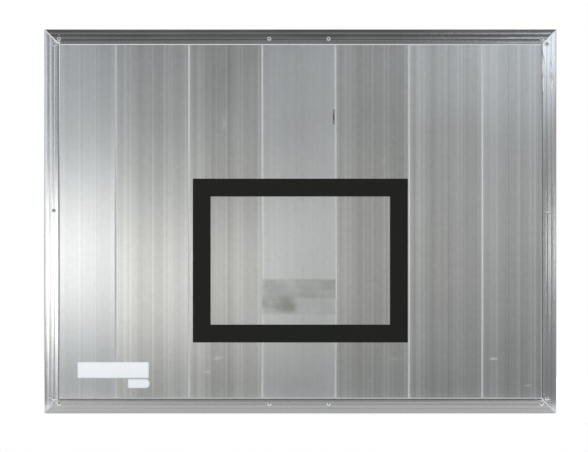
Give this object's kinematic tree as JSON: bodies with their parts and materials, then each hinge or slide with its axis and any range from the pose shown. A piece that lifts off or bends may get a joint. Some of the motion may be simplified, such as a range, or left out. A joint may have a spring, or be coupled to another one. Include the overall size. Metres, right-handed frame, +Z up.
{
  "type": "basketball backboard",
  "caption": "Rectangular outdoor basketball backboard of hollow upright aluminium planks in a mitred, riveted edging frame, with a target rectangle and rear mounting rails.",
  "frame": {"origin": "middle of the four mounting threads, on the plane of the inserts' rear faces", "axes": "+X to the right along the board as seen from the playing side, +Z up, +Y out of the back"},
  "size_m": [1.2, 0.0514, 0.9],
  "materials": {
    "plank_aluminium": "extruded, mill finish",
    "frame_aluminium": "extruded, mill finish",
    "rail_aluminium": "extruded, mill finish",
    "rivet_aluminium": "bright, cold headed",
    "pin_steel": "snapped off, dull",
    "nut_steel": "zinc plated",
    "target_film": "matt adhesive film",
    "label_film": "plain adhesive film, blank"
  },
  "bodies": {
    "root": {"centre_rivet_pins": "pin_steel", "centre_rivets": "rivet_aluminium", "corner_rivet_pins": "pin_steel", "corner_rivets": "rivet_aluminium", "frame_bottom": "frame_aluminium", "frame_left": "frame_aluminium", "frame_right": "frame_aluminium", "frame_top": "frame_aluminium", "plank_1": "plank_aluminium", "plank_2": "plank_aluminium", "plank_3": "plank_aluminium", "plank_4": "plank_aluminium", "plank_5": "plank_aluminium", "plank_6": "plank_aluminium", "plank_7": "plank_aluminium", "rail_lower": "rail_aluminium", "rail_lower_rivet_pins": "pin_steel", "rail_lower_rivets": "rivet_aluminium", "rail_nuts": "nut_steel", "rail_upper": "rail_aluminium", "rail_upper_rivet_pins": "pin_steel", "rail_upper_rivets": "rivet_aluminium", "side_rivet_pins": "pin_steel", "side_rivets": "rivet_aluminium", "target_bottom": "target_film", "target_left": "target_film", "target_right": "target_film", "target_top": "target_film"}
  },
  "joints": []
}
